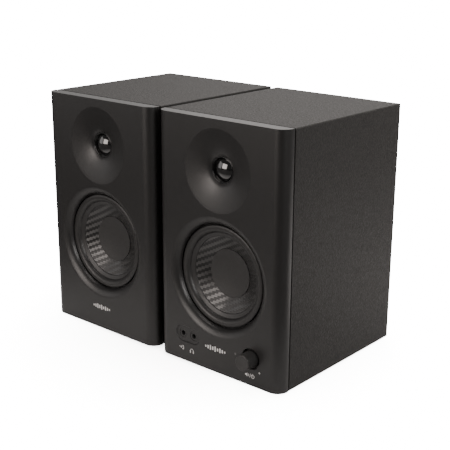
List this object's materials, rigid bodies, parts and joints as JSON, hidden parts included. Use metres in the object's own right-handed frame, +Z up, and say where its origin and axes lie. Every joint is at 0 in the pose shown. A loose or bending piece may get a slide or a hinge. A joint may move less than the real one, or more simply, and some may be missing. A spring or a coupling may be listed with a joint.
{
  "type": "desktop speakers",
  "caption": "Pair of two-way desktop speakers: an active one with volume knob, front sockets and rear amplifier panel, and a matching passive one.",
  "frame": {"origin": "on the surface that the feet rest on, under the middle of the pair's bounding box", "axes": "+X to the right seen from the front (the active speaker is at +X), +Y to the back, +Z up"},
  "size_m": [0.287, 0.1956, 0.228],
  "materials": {
    "cabinet_vinyl": "fibreboard wrapped in fine-grained matte black vinyl",
    "rear_board": "black painted fibreboard",
    "baffle": "fine satin black moulding",
    "foot_rubber": "matte",
    "port_plastic": "satin",
    "wadding": "loose fibre wadding",
    "basket_steel": "black pressed steel",
    "ferrite": "dark sintered",
    "plated_steel": "zinc plated",
    "surround_rubber": "satin rubber",
    "woven_cone": "woven fibre with a clear coat",
    "dust_cap": "matte",
    "spider_cloth": "resin-stiffened cloth",
    "coil_copper": "enamelled copper wire",
    "gloss_ring": "gloss black",
    "dome": "mirror-gloss black",
    "terminal_plastic": "satin",
    "lever_red": "red",
    "lever_black": "black",
    "screw_steel": "black oxide",
    "wire_insulation": "soft insulation",
    "amp_panel_paint": "black powder coat",
    "circuit_board": "green solder mask",
    "socket_plastic": "satin",
    "socket_metal": "nickel plated",
    "knob_plastic": "satin",
    "volume_knob": "satin side, matte face",
    "plunger_plastic": "natural",
    "led": "clear light pipe"
  },
  "bodies": {
    "root": {"active_cabinet_wrap": "cabinet_vinyl", "active_back_panel": "rear_board", "active_front_baffle": "baffle", "active_feet": "foot_rubber", "active_port_tube": "port_plastic", "active_damping_pad": "wadding", "active_woofer_basket": "basket_steel", "active_woofer_magnet": "ferrite", "active_woofer_pole_plates": "plated_steel", "active_woofer_surround": "surround_rubber", "active_woofer_spider": "spider_cloth", "active_tweeter_frame": "gloss_ring", "active_tweeter_motor": "plated_steel", "active_terminal_block": "terminal_plastic", "active_screws": "screw_steel", "active_wiring": "wire_insulation", "active_amp_panel": "amp_panel_paint", "active_amp_board": "circuit_board", "active_power_board": "circuit_board", "active_mains_inlet": "terminal_plastic", "active_balanced_jacks": "socket_plastic", "active_rca_jacks": "socket_metal", "active_encoder_body": "plated_steel", "active_front_jacks": "socket_plastic", "active_control_board": "circuit_board", "active_power_led": "led"},
    "passive_speaker": {"passive_cabinet_wrap": "cabinet_vinyl", "passive_back_panel": "rear_board", "passive_front_baffle": "baffle", "passive_feet": "foot_rubber", "passive_port_tube": "port_plastic", "passive_damping_pad": "wadding", "passive_woofer_basket": "basket_steel", "passive_woofer_magnet": "ferrite", "passive_woofer_pole_plates": "plated_steel", "passive_woofer_surround": "surround_rubber", "passive_woofer_spider": "spider_cloth", "passive_tweeter_frame": "gloss_ring", "passive_tweeter_motor": "plated_steel", "passive_terminal_block": "terminal_plastic", "passive_screws": "screw_steel", "passive_wiring": "wire_insulation", "passive_crossover_board": "circuit_board"},
    "active_woofer": {"active_woofer_cone": "woven_cone", "active_woofer_dust_cap": "dust_cap", "active_woofer_voice_coil": "coil_copper"},
    "active_tweeter": {"active_tweeter_dome": "dome"},
    "active_lever_red": {"active_terminal_lever_red": "lever_red"},
    "active_lever_black": {"active_terminal_lever_black": "lever_black"},
    "passive_woofer": {"passive_woofer_cone": "woven_cone", "passive_woofer_dust_cap": "dust_cap", "passive_woofer_voice_coil": "coil_copper"},
    "passive_tweeter": {"passive_tweeter_dome": "dome"},
    "passive_lever_red": {"passive_terminal_lever_red": "lever_red"},
    "passive_lever_black": {"passive_terminal_lever_black": "lever_black"},
    "power_plunger": {"active_power_switch_plunger": "plunger_plastic"},
    "volume_control": {"active_volume_knob": "volume_knob", "active_volume_shaft": "plated_steel"},
    "treble_control": {"active_treble_knob": "knob_plastic"},
    "bass_control": {"active_bass_knob": "knob_plastic"}
  },
  "joints": [
    {"name": "passive_speaker_spacing", "type": "slide", "parent": "root", "child": "passive_speaker", "axis": [-1, 0, 0], "range_m": [0, 0.3]},
    {"name": "active_woofer_travel", "type": "slide", "parent": "root", "child": "active_woofer", "axis": [0, -1, 0], "range_m": [-0.003, 0.003], "stiffness_N_per_m": 900, "deforming": ["active_woofer_surround", "active_woofer_spider"]},
    {"name": "active_tweeter_travel", "type": "slide", "parent": "root", "child": "active_tweeter", "axis": [0, -1, 0], "range_m": [-0.0003, 0.0003], "stiffness_N_per_m": 1200},
    {"name": "active_red_lever_press", "type": "hinge", "parent": "root", "child": "active_lever_red", "pos_m": [0.0655, 0.07375, 0.066], "axis": [-1, 0, 0], "range_deg": [0, 16], "stiffness_Nm_per_rad": 0.15, "springref_deg": -14.32},
    {"name": "active_black_lever_press", "type": "hinge", "parent": "root", "child": "active_lever_black", "pos_m": [0.0815, 0.07375, 0.066], "axis": [-1, 0, 0], "range_deg": [0, 16], "stiffness_Nm_per_rad": 0.15, "springref_deg": -14.32},
    {"name": "passive_woofer_travel", "type": "slide", "parent": "passive_speaker", "child": "passive_woofer", "axis": [0, -1, 0], "range_m": [-0.003, 0.003], "stiffness_N_per_m": 900, "deforming": ["passive_woofer_surround", "passive_woofer_spider"]},
    {"name": "passive_tweeter_travel", "type": "slide", "parent": "passive_speaker", "child": "passive_tweeter", "axis": [0, -1, 0], "range_m": [-0.0003, 0.0003], "stiffness_N_per_m": 1200},
    {"name": "passive_red_lever_press", "type": "hinge", "parent": "passive_speaker", "child": "passive_lever_red", "pos_m": [-0.0815, 0.07375, 0.066], "axis": [-1, 0, 0], "range_deg": [0, 16], "stiffness_Nm_per_rad": 0.15, "springref_deg": -14.32},
    {"name": "passive_black_lever_press", "type": "hinge", "parent": "passive_speaker", "child": "passive_lever_black", "pos_m": [-0.0655, 0.07375, 0.066], "axis": [-1, 0, 0], "range_deg": [0, 16], "stiffness_Nm_per_rad": 0.15, "springref_deg": -14.32},
    {"name": "power_press", "type": "slide", "parent": "root", "child": "power_plunger", "axis": [0, 1, 0], "range_m": [0, 0.0005], "stiffness_N_per_m": 2500, "springref_m": -0.0006},
    {"name": "volume_turn", "type": "hinge", "parent": "power_plunger", "child": "volume_control", "pos_m": [0.1119, -0.08625, 0.0277], "axis": [0, 1, 0], "continuous": true},
    {"name": "treble_turn", "type": "hinge", "parent": "root", "child": "treble_control", "pos_m": [0.0495, 0.08975, 0.146], "axis": [0, -1, 0], "range_deg": [-150, 150]},
    {"name": "bass_turn", "type": "hinge", "parent": "root", "child": "bass_control", "pos_m": [0.0975, 0.08975, 0.146], "axis": [0, -1, 0], "range_deg": [-150, 150]}
  ]
}
